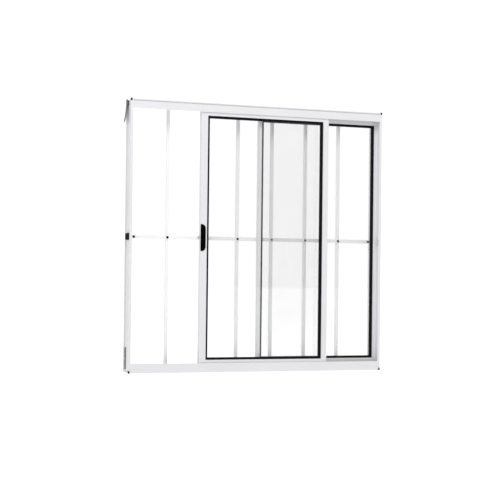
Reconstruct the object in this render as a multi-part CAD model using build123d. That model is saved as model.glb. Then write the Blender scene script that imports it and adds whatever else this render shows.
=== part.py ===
from build123d import *
import os

# Sliding aluminium window with a built-in security grille, room side facing -Y, millimetres.
# A fixed leaf stands in the rear track on the right, and a second leaf slides in the front
# track on rollers. Six tubes and a crossbar behind both leaves make the grille.
# Origin: centre of the sill's underside. Depths are measured back from the front face.

os.makedirs("parts", exist_ok=True)

# ---- driving dimensions: outer frame ----
FRAME_W = 1000.0          # width over the jambs
FRAME_H = 1000.0          # height over sill and head
WALL = 1.5                # wall of the extruded profiles
HEAD_LIP = 35.0           # height of the head's front lip
SILL_LIP = 35.0           # height of the sill's front lip
JAMB_LIP = 10.0           # width of the jambs' front lip
JAMB_CHANNEL = 5.0        # depth of the open channel on a jamb's outer side
REAR_BOX = 20.0           # how far the rear box stands in from the outside
REAR_BOX_DEPTH = 21.0     # front-to-back size of the rear box
MID_WALL_H = 25.0         # height of the wall between the two tracks
JAMB_MID_WALL = 8.0       # the same wall in a jamb
TRACK_T = 2.0             # thickness of a running rail
TRACK_TOP = 12.0          # height of the running rails above the underside
GUIDE_RIB_H = 11.5        # how far the head's guide ribs hang below its web
HEAD_GROOVE = 3.6         # width of the shadow groove under the head's top edge
HEAD_GROOVE_DEPTH = 3.2
HEAD_GROOVE_DROP = 4.5    # from the head's top to the groove
PORT_W = 7.0              # screw port on head and sill
PORT_H = 6.5
SCREW_R = 2.0             # frame and leaf assembly screws
SCREW_HEAD_R = 3.8
SCREW_HEAD_T = 2.2
SCREW_L = 22.0
LEAF_SCREW_T = 0.7        # flat heads of the leaf screws
LEAF_SCREW_BITE = 12.0    # how far a leaf screw stands in a rail

# ---- driving dimensions: leaves ----
LEAF_T = 23.0             # thickness of a leaf
LIP_GAP = 2.5             # between the front lip and the sliding leaf
LEAF_GAP = 3.0            # between the two leaves
SLIDING_PAST_MIDDLE = 15.5 # how far the closed leaf reaches past the middle
FIXED_OFF_MIDDLE = 5.0    # from the middle to the fixed leaf's edge
LOCK_STILE = 25.0         # width of the stile that carries the latch
INTERLOCK_STILE = 21.5    # width of the sliding leaf's meeting stile
FIXED_MEETING_STILE = 11.0 # width of the fixed leaf's meeting stile
JAMB_STILE = 11.0         # width of the fixed leaf's stile at the jamb
RAIL_H = 32.5             # height of the top and bottom rails
LEAF_TOP_GAP = 15.0       # from the leaves' upper edge to the head's top
JAMB_GAP = 1.0            # between a leaf and the jamb's web
OPENED = 262.0            # how far the sliding leaf stands from its closed place
GLASS_T = 4.0
GLASS_BITE = 6.0          # how deep the glass stands in a profile
CHANNEL_W = 14.0          # glazing channel in the profiles
CHANNEL_H = 9.0
GASKET_LIP = 8.4          # visible width of the gasket
GASKET_FIT = 0.1          # clearance of gasket to channel and glass
RAIL_WEB = 6.0            # solid wall between the roller channel and the glazing channel

# ---- driving dimensions: rollers ----
ROLLER_R = 10.0           # over the flanges
ROLLER_GROOVE_R = 8.0     # running surface
ROLLER_W = 6.0
ROLLER_LIFT = 0.3         # running clearance above the rail
ROLLER_TOP_PLAY = 1.2     # between a roller and the channel's roof
AXLE_R = 2.0
AXLE_FIT = 0.05
ROLLER_INSET = 70.0       # from the leaf's edges
HOUSING_L = 46.0
HOUSING_W = 16.0
GUIDE_L = 30.0            # top guides and setting blocks
GUIDE_W = 14.0
GUIDE_H = 6.0
GUIDE_PLAY = 0.5

# ---- driving dimensions: grille ----
BAR_COUNT = 6
BAR_W = 12.5              # square tube
BAR_WALL = 1.2
BAR_EDGE = 1.6            # rounding of the tube's edges
CROSSBAR_H = 14.0
CROSSBAR_T = 3.5
CROSSBAR_DROP = 1.0       # crossbar below half height
GRILLE_GAP = 3.0          # between the fixed leaf and the crossbar
POCKET_FIT = 0.2          # clearance round a tube in its pocket
BAR_TOP_BITE = 10.0       # how far a tube stands in the head's rear box
CAP_R = 4.6               # black caps over the rivets
CAP_T = 2.4
RIVET_R = 2.0
END_CAP_INSET = 9.4       # from the jamb's inner face to the end cap
BRACKET_L = 18.0
BRACKET_T = 2.0

# ---- driving dimensions: latch ----
LATCH_DROP = 1.0          # latch below half height
SHELL_W = 20.0
SHELL_H = 100.0
SHELL_T = 1.4             # how far the shell stands proud of the stile
SHELL_EDGE = 0.4          # from the stile's edge
SHELL_CORNER = 16.0       # large radius of the shell's inner corners
CUP_W = 11.0              # finger recess
CUP_H = 78.0
CUP_DEPTH = 8.0
CUP_WALL = 1.0
CUP_FIT = 0.3
SLIDER_H = 22.0
SLIDER_TRAVEL = 8.0
HOOK_REACH = 6.3          # how far the hook stands out of the stile
HOOK_T = 3.0
HOOK_ARM_H = 4.5
HOOK_TOOTH = 3.5
HOOK_SLOT = 20.0          # height of the slots the hook passes
HOOK_SLOT_W = 5.0
HOOK_CATCH = 1.5          # play of the hook's arm under the jamb's catch edge
HOOK_SET_BACK = 4.2       # hook's middle plane behind the leaf's middle plane
KEEPER_H = 26.0
KEEPER_TAPER = 2.0
KEEPER_FRONT = 3.0        # depth of the keeper's front edge
KEEPER_REAR = 13.0        # from the keeper's rear end to the frame's rear face
KEEPER_END_WALL = 1.0

# ---- driving dimensions: fixings ----
STRAP_T = 1.5
STRAP_W = 20.0
STRAP_L = 80.0
STRAP_FROM_REAR = 13.0    # straps' middle line in front of the rear face
STRAP_FOOT = 18.0         # flat part of the flared strap
STRAP_FLARE = 9.0         # how far the loose end stands out
STRAP_RISE = 4.0          # how far the flared strap stands above the head
STRAP_SET_IN = 12.0       # from the frame's end to a lower strap
PAD_W = 6.0
PAD_H = 9.0
PAD_T = 2.0
PAD_PROUD = 1.5
STOP_T = 6.0              # rubber stop in the front track
STOP_H = 24.0
HOLE_R = 3.2              # installation hole in each jamb
HOLE_BELOW_BAR = 31.0     # below the crossbar's middle
HOLE_IN_BOX = 11.0        # behind the rear box's front face
PILE_T = 1.8              # brush strips
PILE_W = 5.0

# ---- derived places ----
LEAF_1 = WALL + LIP_GAP + LEAF_T / 2
LEAF_2 = LEAF_1 + LEAF_T + LEAF_GAP
MID_WALL_D = (LEAF_1 + LEAF_2) / 2
CROSSBAR_D0 = LEAF_2 + LEAF_T / 2 + GRILLE_GAP
CROSSBAR_D1 = CROSSBAR_D0 + CROSSBAR_T
BAR_D = CROSSBAR_D1 + BAR_W / 2
REAR_D0 = LEAF_2 + LEAF_T / 2 + GRILLE_GAP / 2 + 0.5
FRAME_D = REAR_D0 + REAR_BOX_DEPTH
HALF_W = FRAME_W / 2
WEB_X = HALF_W - JAMB_CHANNEL - WALL          # inner face of a jamb's web
REAR_X = HALF_W - REAR_BOX                    # inner face of a jamb's rear box
LEAF_TOP = FRAME_H - LEAF_TOP_GAP
SLIDING_X0 = -(WEB_X - JAMB_GAP) + OPENED
SLIDING_X1 = SLIDING_PAST_MIDDLE + OPENED
FIXED_X1 = WEB_X - JAMB_GAP
FIXED_X0 = FIXED_OFF_MIDDLE
LEAF_FACE = WALL + LIP_GAP                    # depth of the sliding leaf's front face
BAR_PITCH = 2 * REAR_X / (BAR_COUNT + 1)      # the tubes share out the opening evenly
BAR_XS = [(i - (BAR_COUNT - 1) / 2) * BAR_PITCH for i in range(BAR_COUNT)]
CROSSBAR_Z = FRAME_H / 2 - CROSSBAR_DROP
LATCH_Z = FRAME_H / 2 - LATCH_DROP
STRAP_DEPTH = FRAME_D - STRAP_FROM_REAR
HOLE_Z = CROSSBAR_Z - HOLE_BELOW_BAR
HOLE_DEPTH = REAR_D0 + HOLE_IN_BOX
AXLE_Z = TRACK_TOP + ROLLER_GROOVE_R + ROLLER_LIFT
ROLLER_CHANNEL = RAIL_H - CHANNEL_H - RAIL_WEB   # height of the bottom rail's open channel
LEAF_BOTTOM = AXLE_Z + ROLLER_R + ROLLER_TOP_PLAY - ROLLER_CHANNEL
ROLLER_XS = [SLIDING_X0 + ROLLER_INSET, SLIDING_X1 - ROLLER_INSET]


# ---- helpers ----
def depth(d):
    """Row Y of a depth measured back from the front face."""
    return d - FRAME_D / 2


def block(x0, x1, d0, d1, z0, z1):
    """Box between two X values, two depths and two heights."""
    middle = ((x0 + x1) / 2, depth((d0 + d1) / 2), (z0 + z1) / 2)
    return Pos(*middle) * Box(x1 - x0, d1 - d0, z1 - z0)


def rod_x(r, x0, x1, d, z):
    """Round bar along X."""
    return Pos((x0 + x1) / 2, depth(d), z) * Rot(0, 90, 0) * Cylinder(r, x1 - x0)


def rod_y(r, d0, d1, x, z):
    """Round bar along Y."""
    return Pos(x, depth((d0 + d1) / 2), z) * Rot(90, 0, 0) * Cylinder(r, d1 - d0)


def rod_z(r, z0, z1, x, d):
    """Round bar along Z."""
    return Pos(x, depth(d), (z0 + z1) / 2) * Cylinder(r, z1 - z0)


def prism(points, vector):
    """Extrude a closed outline of 3-D points along a vector."""
    face = Face(Wire.make_polygon([Vector(*p) for p in points], close=True))
    return Part(Solid.extrude(face, Vector(*vector)).wrapped)


def fuse(shapes):
    """Join a list of shapes into one part."""
    result = shapes[0]
    for shape in shapes[1:]:
        result = result + shape
    return result


def mirror_x(shape):
    """Copy of a shape on the other side of the middle plane X = 0."""
    return mirror(shape, about=Plane.YZ)


def save(name, *shapes):
    """Write one node; several shapes become a group of separate solids."""
    solids = [s for shape in shapes for s in shape.solids()]
    export_step(Compound(children=solids) if len(solids) > 1 else solids[0], f"parts/{name}.step")


# ---- outer frame ----
def jamb_left():
    """Left upright: lip, web with an open channel outside it, middle wall and rear box."""
    x = -HALF_W
    web0 = x + JAMB_CHANNEL
    web1 = web0 + WALL
    walls = [
        block(x, x + JAMB_LIP, 0, WALL, 0, FRAME_H),
        block(web0, web1, 0, FRAME_D, 0, FRAME_H),
        block(x, web1, FRAME_D - WALL, FRAME_D, 0, FRAME_H),
        block(web0, web1 + JAMB_MID_WALL, MID_WALL_D - WALL / 2, MID_WALL_D + WALL / 2, 0, FRAME_H),
        block(web0, x + REAR_BOX, REAR_D0, REAR_D0 + WALL, 0, FRAME_H),
        block(web0, x + REAR_BOX, FRAME_D - WALL, FRAME_D, 0, FRAME_H),
        block(x + REAR_BOX - WALL, x + REAR_BOX, REAR_D0, FRAME_D, 0, FRAME_H),
    ]
    body = fuse(walls)
    body -= rod_x(HOLE_R, x, x + REAR_BOX + WALL, HOLE_DEPTH, HOLE_Z)
    for d, z in frame_screw_places():
        body -= rod_x(SCREW_R + GASKET_FIT, web0 - WALL, web1 + WALL, d, z)
    return body


def frame_screw_places():
    """Depth and height of the four screws through each jamb."""
    front = MID_WALL_D - WALL / 2 - PORT_W / 2 - 1.0
    rear = REAR_D0 - PORT_W / 2 - 3.0
    low = WALL + PORT_H / 2
    high = FRAME_H - WALL - PORT_H / 2
    return [(front, low), (rear, low), (front, high), (rear, high)]


def sill_or_head(top):
    """Horizontal member between the jambs; the head is the sill upside down, with ribs."""
    def z(a):
        return FRAME_H - a if top else a

    def wall(d0, d1, a0, a1, x=WEB_X):
        low, high = sorted((z(a0), z(a1)))
        return block(-x, x, d0, d1, low, high)

    lip = HEAD_LIP if top else SILL_LIP
    rib = WALL + GUIDE_RIB_H if top else TRACK_TOP
    inner = REAR_X
    lip_x = HALF_W - JAMB_LIP
    walls = [
        wall(0, FRAME_D, 0, WALL),
        wall(0, WALL, 0, lip, lip_x),
        wall(MID_WALL_D - WALL / 2, MID_WALL_D + WALL / 2, 0, MID_WALL_H, WEB_X - JAMB_MID_WALL),
        wall(REAR_D0, REAR_D0 + WALL, 0, REAR_BOX, inner),
        wall(FRAME_D - WALL, FRAME_D, 0, REAR_BOX, inner),
        wall(REAR_D0, FRAME_D, REAR_BOX - WALL, REAR_BOX, inner),
    ]
    for d in (LEAF_1, LEAF_2):
        walls.append(wall(d - TRACK_T / 2, d + TRACK_T / 2, 0, rib))
    for d, height in frame_screw_places():
        if (height > FRAME_H / 2) == top:
            reach = WEB_X if d < REAR_D0 else inner
            walls.append(wall(d - PORT_W / 2, d + PORT_W / 2, 0, WALL + PORT_H, reach))
    body = fuse(walls)
    # the web stops at the jambs' lips, middle walls and rear boxes
    for side in (-1, 1):
        for d0, d1, x in ((0, WALL, lip_x), (MID_WALL_D - WALL / 2, MID_WALL_D + WALL / 2,
                          WEB_X - JAMB_MID_WALL), (REAR_D0, FRAME_D, inner)):
            x0, x1 = sorted((side * x, side * (WEB_X + WALL)))
            low, high = sorted((z(-1), z(REAR_BOX + lip)))
            body -= block(x0, x1, d0, d1, low, high)
    for d, height in frame_screw_places():
        if (height > FRAME_H / 2) == top:
            for side in (-1, 1):
                x0, x1 = sorted((side * (WEB_X - SCREW_L), side * (WEB_X + WALL)))
                body -= rod_x(SCREW_R, x0, x1, d, height)
    for x in BAR_XS:
        half = BAR_W / 2 + POCKET_FIT
        low, high = sorted((z(REAR_BOX - 2 * WALL), z(REAR_BOX + WALL)))
        body -= block(x - half, x + half, BAR_D - half, BAR_D + half, low, high)
    if top:
        groove0 = FRAME_H - HEAD_GROOVE_DROP - HEAD_GROOVE
        body += block(-lip_x, lip_x, WALL / 2, HEAD_GROOVE_DEPTH + WALL, groove0 - WALL, groove0 + HEAD_GROOVE + WALL)
        body -= block(-HALF_W, HALF_W, -1, HEAD_GROOVE_DEPTH, groove0, groove0 + HEAD_GROOVE)
    return body


def frame_screws():
    """Eight pan-head screws through the jambs' webs into the ports."""
    screws = []
    for d, z in frame_screw_places():
        outer = -(WEB_X + WALL)
        shank = rod_x(SCREW_R, outer, outer + WALL + SCREW_L, d, z)
        head = rod_x(SCREW_HEAD_R, outer - SCREW_HEAD_T, outer, d, z)
        screw = shank + head
        screws += [screw, mirror_x(screw)]
    return screws


def corner_pads():
    """Four black pads wrapped on the front outer corners."""
    pads = []
    for top in (False, True):
        z0 = FRAME_H - PAD_H + PAD_PROUD if top else 0.0
        pad = block(-HALF_W, -HALF_W + PAD_W, -PAD_T, 0, z0, z0 + PAD_H)
        if top:
            pad += block(-HALF_W, -HALF_W + PAD_W, -PAD_T, PAD_H, FRAME_H, FRAME_H + PAD_PROUD)
        pads += [pad, mirror_x(pad)]
    return pads


def strap_outer():
    """X of the straps' inner face, on the outside of the left jamb's web."""
    return -(WEB_X + WALL)


def strap_flat(z0):
    """Flat anchor strap on the left jamb."""
    x1 = strap_outer()
    return block(x1 - STRAP_T, x1, STRAP_DEPTH - STRAP_W / 2, STRAP_DEPTH + STRAP_W / 2, z0, z0 + STRAP_L)


def strap_flared():
    """Folded anchor strap: a foot on the web, and an outer leg that bends away from the jamb."""
    x1 = strap_outer()
    top = FRAME_H + STRAP_RISE
    fold = FRAME_H - 1.0
    d0 = depth(STRAP_DEPTH - STRAP_W / 2)
    d1 = STRAP_DEPTH - STRAP_W / 2
    steps = [i / 12 for i in range(13)]
    low = fold - STRAP_L
    leg = [(-HALF_W - STRAP_FLARE * t ** 2, d0, top + (low - top) * t) for t in steps]
    leg += [(x - STRAP_T, y, z) for x, y, z in reversed(leg)]
    body = prism(leg, (0, STRAP_W, 0))
    body += block(x1 - STRAP_T, x1, d1, d1 + STRAP_W, fold - STRAP_FOOT, fold)
    return body + block(-HALF_W - STRAP_T / 2, x1, d1, d1 + STRAP_W, fold - STRAP_T, fold)


def strap_rivet(z):
    """Blind rivet that holds a strap to the left jamb's web."""
    x1 = strap_outer()
    return rod_x(SCREW_HEAD_R, x1 - STRAP_T - 1.0, x1 - STRAP_T, STRAP_DEPTH, z)


def sash_stop():
    """Rubber stop at the right end of the front track."""
    z0 = LATCH_Z - STOP_H / 2
    return block(WEB_X - STOP_T, WEB_X, LEAF_1 - 6.0, LEAF_1 + 6.0, z0, z0 + STOP_H)


def frame_pile():
    """Brush strips on the inner faces of the head's and the sill's front lip."""
    reach = HALF_W - JAMB_LIP - 1.0
    strips = []
    for z in (SILL_LIP - 2.0 - PILE_W, FRAME_H - HEAD_LIP + 2.0):
        strips.append(block(-reach, reach, WALL, WALL + PILE_T, z, z + PILE_W))
    return strips


# ---- leaves ----
def stile(x0, x1, glass_side, centre):
    """Upright of a leaf: a box with a glazing channel on the glass side (+1 or -1)."""
    d0 = centre - LEAF_T / 2
    d1 = centre + LEAF_T / 2
    body = block(x0, x1, d0, d1, LEAF_BOTTOM, LEAF_TOP)
    width = x1 - x0
    bite = min(CHANNEL_H, width - 2 * WALL)
    glass_edge = x1 if glass_side > 0 else x0
    c0, c1 = sorted((glass_edge, glass_edge - glass_side * bite))
    body -= block(c0, c1, centre - CHANNEL_W / 2, centre + CHANNEL_W / 2, LEAF_BOTTOM - 1, LEAF_TOP + 1)
    hollow = width - bite - 2 * WALL
    if hollow > WALL:
        outer = x0 if glass_side > 0 else x1
        h0, h1 = sorted((outer + glass_side * WALL, outer + glass_side * (WALL + hollow)))
        body -= block(h0, h1, d0 + WALL, d1 - WALL, LEAF_BOTTOM - 1, LEAF_TOP + 1)
    return body


def rail(x0, x1, centre, top):
    """Crosswise member of a leaf; the bottom one is open below for the rollers."""
    d0 = centre - LEAF_T / 2
    d1 = centre + LEAF_T / 2
    z0 = LEAF_TOP - RAIL_H if top else LEAF_BOTTOM
    z1 = z0 + RAIL_H
    body = block(x0, x1, d0, d1, z0, z1)
    g0, g1 = (z0, z0 + CHANNEL_H) if top else (z1 - CHANNEL_H, z1)
    body -= block(x0, x1, centre - CHANNEL_W / 2, centre + CHANNEL_W / 2, g0, g1)
    if top:
        body -= block(x0, x1, d0 + WALL, d1 - WALL, g1 + WALL, z1 - WALL)
        body += block(x0, x1, centre - PORT_W / 2, centre + PORT_W / 2, z1 - WALL - PORT_H, z1 - WALL)
    else:
        body -= block(x0, x1, d0 + WALL, d1 - WALL, z0, z0 + ROLLER_CHANNEL)
    return body


def glass_box(x0, x1):
    """Daylight edges of a leaf: left, right, low and high sides of its profiles."""
    return x0, x1, LEAF_BOTTOM + RAIL_H, LEAF_TOP - RAIL_H


def pane(x0, x1, z0, z1, centre):
    """Float glass standing a little way in each profile."""
    return block(x0 - GLASS_BITE, x1 + GLASS_BITE, centre - GLASS_T / 2, centre + GLASS_T / 2,
                 z0 - GLASS_BITE, z1 + GLASS_BITE)


def gaskets(x0, x1, z0, z1, centre, bites):
    """Four U-shaped rubber strips round a pane, uprights full height, crosswise ones between."""
    half = CHANNEL_W / 2 - GASKET_FIT
    slot = GLASS_T / 2
    lip = GASKET_LIP
    seat = CHANNEL_H - GASKET_FIT
    low = z0 - seat
    high = z1 + seat
    left = block(x0 - bites[0], x0 + lip, centre - half, centre + half, z0, z1)
    right = block(x1 - lip, x1 + bites[1], centre - half, centre + half, z0, z1)
    bottom = block(x0 + lip, x1 - lip, centre - half, centre + half, low, z0 + lip)
    top = block(x0 + lip, x1 - lip, centre - half, centre + half, z1 - lip, high)
    room = block(x0 - GLASS_BITE, x1 + GLASS_BITE, centre - slot, centre + slot,
                 z0 - GLASS_BITE, z1 + GLASS_BITE)
    return {name: shape - room for name, shape in
            (("left", left), ("right", right), ("bottom", bottom), ("top", top))}


def leaf_screw_heights():
    """Heights of the screws in the bottom and the top rail."""
    low = LEAF_BOTTOM + (ROLLER_CHANNEL + RAIL_H - CHANNEL_H) / 2
    return low, LEAF_TOP - WALL - PORT_H / 2


def leaf_screw_shanks(x0, x1, left_w, right_w, centre):
    """Shanks of a leaf's four screws, from the outer faces through the stiles into the rails."""
    shanks = []
    for z in leaf_screw_heights():
        shanks.append(rod_x(SCREW_R, x0, x0 + left_w + LEAF_SCREW_BITE, centre, z))
        shanks.append(rod_x(SCREW_R, x1 - right_w - LEAF_SCREW_BITE, x1, centre, z))
    return shanks


def leaf_screws(x0, x1, left_w, right_w, centre):
    """Four screws through the stiles into the ends of the rails."""
    screws = []
    for shank in leaf_screw_shanks(x0, x1, left_w, right_w, centre):
        box = shank.bounding_box()
        outer = x0 if box.min.X < x0 + 1 else x1
        a, b = sorted((outer, outer + (LEAF_SCREW_T if outer == x1 else -LEAF_SCREW_T)))
        z = (box.min.Z + box.max.Z) / 2
        screws.append(shank + rod_x(SCREW_HEAD_R, a, b, centre, z))
    return screws


def hook_slot(x0, x1, above=HOOK_SLOT / 2):
    """Cut-out that lets the latch hook pass a wall; above is its height over the latch's middle."""
    d = LEAF_1 + HOOK_SET_BACK
    half = HOOK_SLOT_W / 2
    return block(x0, x1, d - half, d + half, LATCH_Z - HOOK_SLOT / 2, LATCH_Z + above)


# ---- latch ----
def shell_outline(x0, x1, z0, z1, d, radius):
    """D-shaped face: straight on the left, large radii on the right."""
    with BuildSketch(Plane((0, depth(d), 0), x_dir=(1, 0, 0), z_dir=(0, -1, 0))) as sketch:
        with Locations(((x0 + x1) / 2, (z0 + z1) / 2)):
            Rectangle(x1 - x0, z1 - z0)
        corners = sketch.vertices().sort_by(Axis.X)[-2:]
        fillet(corners, radius)
    return sketch.sketch


def handle_places():
    """X limits of the shell and of its finger recess."""
    s0 = SLIDING_X0 + SHELL_EDGE
    c0 = SLIDING_X0 + WALL + CUP_FIT + CUP_WALL
    return s0, s0 + SHELL_W, c0, c0 + CUP_W - 2 * CUP_WALL


def handle_cut():
    """Opening in the lock stile's front wall for the shell's cup."""
    _, _, c0, c1 = handle_places()
    grow = CUP_WALL + CUP_FIT / 2
    return block(c0 - grow, c1 + grow, LEAF_FACE - 1, LEAF_FACE + WALL + 1,
                 LATCH_Z - CUP_H / 2 - grow, LATCH_Z + CUP_H / 2 + grow)


def handle_shell():
    """Moulded flush pull: a D-shaped bezel with a finger recess sunk in the stile."""
    s0, s1, c0, c1 = handle_places()
    z0, z1 = LATCH_Z - CUP_H / 2, LATCH_Z + CUP_H / 2
    face = shell_outline(s0, s1, LATCH_Z - SHELL_H / 2, LATCH_Z + SHELL_H / 2, LEAF_FACE, SHELL_CORNER)
    body = extrude(face, SHELL_T)
    body += block(c0 - CUP_WALL, c1 + CUP_WALL, LEAF_FACE, LEAF_FACE + CUP_DEPTH + CUP_WALL,
                  z0 - CUP_WALL, z1 + CUP_WALL)
    body -= block(c0, c1, LEAF_FACE - SHELL_T - 1, LEAF_FACE + CUP_DEPTH, z0, z1)
    stem = SLIDER_TRAVEL + 4.0
    body -= block((c0 + c1) / 2 - 2.0, (c0 + c1) / 2 + 2.0, LEAF_FACE + CUP_DEPTH - 1,
                  LEAF_FACE + CUP_DEPTH + CUP_WALL + 1, LATCH_Z - stem, LATCH_Z + stem)
    return body


def latch_slider():
    """Thumb slide in the finger recess, with a stem through its floor."""
    _, _, c0, c1 = handle_places()
    gap = 0.4
    floor = LEAF_FACE + CUP_DEPTH - gap
    body = block(c0 + gap, c1 - gap, floor - 3.0, floor, LATCH_Z - SLIDER_H / 2, LATCH_Z + SLIDER_H / 2)
    for step in (-6.0, -2.0, 2.0, 6.0):
        body += block(c0 + gap, c1 - gap, floor - 4.0, floor - 3.0, LATCH_Z + step - 0.8, LATCH_Z + step + 0.8)
    middle = (c0 + c1) / 2
    body += block(middle - 1.5, middle + 1.5, floor, LEAF_FACE + CUP_DEPTH + CUP_WALL + 0.4,
                  LATCH_Z - 3.0, LATCH_Z + 3.0)
    return body


def hook_axis_x():
    """X of the hook's pivot in the lock stile."""
    return SLIDING_X0 + WALL + 6.5


def latch_hook():
    """Hook that turns about Y and reaches through the stile's outer wall."""
    d = LEAF_1 + HOOK_SET_BACK
    x = hook_axis_x()
    tip = SLIDING_X0 - HOOK_REACH
    body = rod_y(4.5, d - HOOK_T / 2, d + HOOK_T / 2, x, LATCH_Z)
    body += block(tip, x, d - HOOK_T / 2, d + HOOK_T / 2, LATCH_Z - HOOK_ARM_H / 2, LATCH_Z + HOOK_ARM_H / 2)
    body += block(tip, tip + 3.0, d - HOOK_T / 2, d + HOOK_T / 2, LATCH_Z, LATCH_Z + HOOK_ARM_H / 2 + HOOK_TOOTH)
    return body - rod_y(AXLE_R + AXLE_FIT, d - HOOK_T, d + HOOK_T, x, LATCH_Z)


def latch_pin():
    """Pivot pin of the hook, held by the stile's rear wall."""
    d = LEAF_1 + HOOK_SET_BACK
    rear = LEAF_1 + LEAF_T / 2
    return rod_y(AXLE_R, d - HOOK_T / 2 - 1.0, rear, hook_axis_x(), LATCH_Z)


def latch_keeper():
    """Black keeper box in the left jamb's outer channel, hollow where the hook enters."""
    x1 = -(WEB_X + WALL)
    x0 = -HALF_W - 1.0
    half = KEEPER_H / 2
    d0 = depth(KEEPER_FRONT)
    outline = [(x1, d0, LATCH_Z - half), (x1, d0, LATCH_Z + half),
               (x0, d0, LATCH_Z + half - KEEPER_TAPER), (x0, d0, LATCH_Z - half + KEEPER_TAPER)]
    body = prism(outline, (0, FRAME_D - KEEPER_REAR - KEEPER_FRONT, 0))
    return body - hook_slot(x0 + KEEPER_END_WALL, x1 + 1)


# ---- rollers ----
def roller(x):
    """Grooved nylon wheel that runs on the sill's front rail."""
    half = ROLLER_W / 2
    groove = TRACK_T / 2 + 0.4
    wheel = rod_y(ROLLER_R, LEAF_1 - half, LEAF_1 + half, x, AXLE_Z)
    ring = rod_y(ROLLER_R + 1, LEAF_1 - groove, LEAF_1 + groove, x, AXLE_Z)
    ring -= rod_y(ROLLER_GROOVE_R, LEAF_1 - groove, LEAF_1 + groove, x, AXLE_Z)
    wheel -= ring
    return wheel - rod_y(AXLE_R + AXLE_FIT, LEAF_1 - half, LEAF_1 + half, x, AXLE_Z)


def roller_housing(x):
    """U-shaped carrier in the bottom rail, with two cheeks for the axle."""
    top = LEAF_BOTTOM + ROLLER_CHANNEL
    cheek = 2.0
    body = block(x - HOUSING_L / 2, x + HOUSING_L / 2, LEAF_1 - HOUSING_W / 2, LEAF_1 + HOUSING_W / 2,
                 AXLE_Z - 5.0, top)
    inside = HOUSING_W / 2 - cheek
    body -= block(x - ROLLER_R - 1.5, x + ROLLER_R + 1.5, LEAF_1 - inside, LEAF_1 + inside,
                  AXLE_Z - 6.0, top + 1)
    return body - rod_y(AXLE_R, LEAF_1 - HOUSING_W, LEAF_1 + HOUSING_W, x, AXLE_Z)


def roller_axle(x):
    """Steel axle pressed in the carrier's cheeks."""
    return rod_y(AXLE_R, LEAF_1 - HOUSING_W / 2, LEAF_1 + HOUSING_W / 2, x, AXLE_Z)


def top_guides(x0, x1, centre):
    """Two forked nylon guides on a leaf, straddling the head's rib."""
    guides = []
    gap = TRACK_T / 2 + GUIDE_PLAY
    foot = (LEAF_TOP_GAP - WALL - GUIDE_RIB_H) / 2
    for x in (x0 + ROLLER_INSET, x1 - ROLLER_INSET):
        guide = block(x - GUIDE_L / 2, x + GUIDE_L / 2, centre - GUIDE_W / 2, centre + GUIDE_W / 2,
                      LEAF_TOP, LEAF_TOP + GUIDE_H)
        guide -= block(x - GUIDE_L, x + GUIDE_L, centre - gap, centre + gap,
                       LEAF_TOP + foot, LEAF_TOP + 2 * GUIDE_H)
        guides.append(guide)
    return guides


def fixed_leaf_blocks():
    """Two nylon blocks that carry the fixed leaf on the rear rail, inside its bottom rail."""
    blocks = []
    half = LEAF_T / 2 - WALL - GASKET_FIT
    for x in (FIXED_X0 + ROLLER_INSET, FIXED_X1 - ROLLER_INSET):
        blocks.append(block(x - GUIDE_L / 2, x + GUIDE_L / 2, LEAF_2 - half, LEAF_2 + half,
                            TRACK_TOP, LEAF_BOTTOM + ROLLER_CHANNEL))
    return blocks


# ---- grille ----
def grille_bar(x):
    """Square tube with rounded edges from the sill's web up into the head's rear box."""
    z0 = WALL
    z1 = FRAME_H - REAR_BOX + BAR_TOP_BITE
    with BuildSketch(Plane((x, depth(BAR_D), z0))) as outer:
        RectangleRounded(BAR_W, BAR_W, BAR_EDGE)
        Rectangle(BAR_W - 2 * BAR_WALL, BAR_W - 2 * BAR_WALL, mode=Mode.SUBTRACT)
    tube = extrude(outer.sketch, z1 - z0)
    return tube - rod_y(RIVET_R, CROSSBAR_D1 - 1, CROSSBAR_D1 + BAR_WALL + 0.5, x, CROSSBAR_Z)


def crossbar():
    """Flat bar across the tubes, with a hole at each rivet."""
    half = CROSSBAR_H / 2
    body = block(-REAR_X, REAR_X, CROSSBAR_D0, CROSSBAR_D1, CROSSBAR_Z - half, CROSSBAR_Z + half)
    long_edges = body.edges().filter_by(Axis.X)
    body = fillet(long_edges, CROSSBAR_T / 4)
    for x in BAR_XS + end_cap_xs():
        body -= rod_y(RIVET_R, CROSSBAR_D0 - 1, CROSSBAR_D1 + 1, x, CROSSBAR_Z)
    return body


def end_cap_xs():
    """X of the caps at the crossbar's ends."""
    return [-REAR_X + END_CAP_INSET, REAR_X - END_CAP_INSET]


def cap(x, shank):
    """Black domed cap with its rivet shank."""
    body = rod_y(CAP_R, CROSSBAR_D0 - CAP_T, CROSSBAR_D0, x, CROSSBAR_Z)
    front = body.edges().filter_by(GeomType.CIRCLE).sort_by(Axis.Y)[0]
    body = fillet(front, CAP_T * 0.6)
    return body + rod_y(RIVET_R, CROSSBAR_D0, CROSSBAR_D1 + shank, x, CROSSBAR_Z)


def end_bracket():
    """Angle between the crossbar's left end and the jamb's rear box."""
    x = -REAR_X
    z0 = CROSSBAR_Z - CROSSBAR_H / 2
    z1 = CROSSBAR_Z + CROSSBAR_H / 2
    body = block(x, x + BRACKET_L, CROSSBAR_D1, CROSSBAR_D1 + BRACKET_T, z0, z1)
    body += block(x, x + BRACKET_T, CROSSBAR_D1, FRAME_D - WALL, z0, z1)
    return body - rod_y(RIVET_R, CROSSBAR_D1 - 1, CROSSBAR_D1 + BRACKET_T + 1, end_cap_xs()[0], CROSSBAR_Z)


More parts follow.
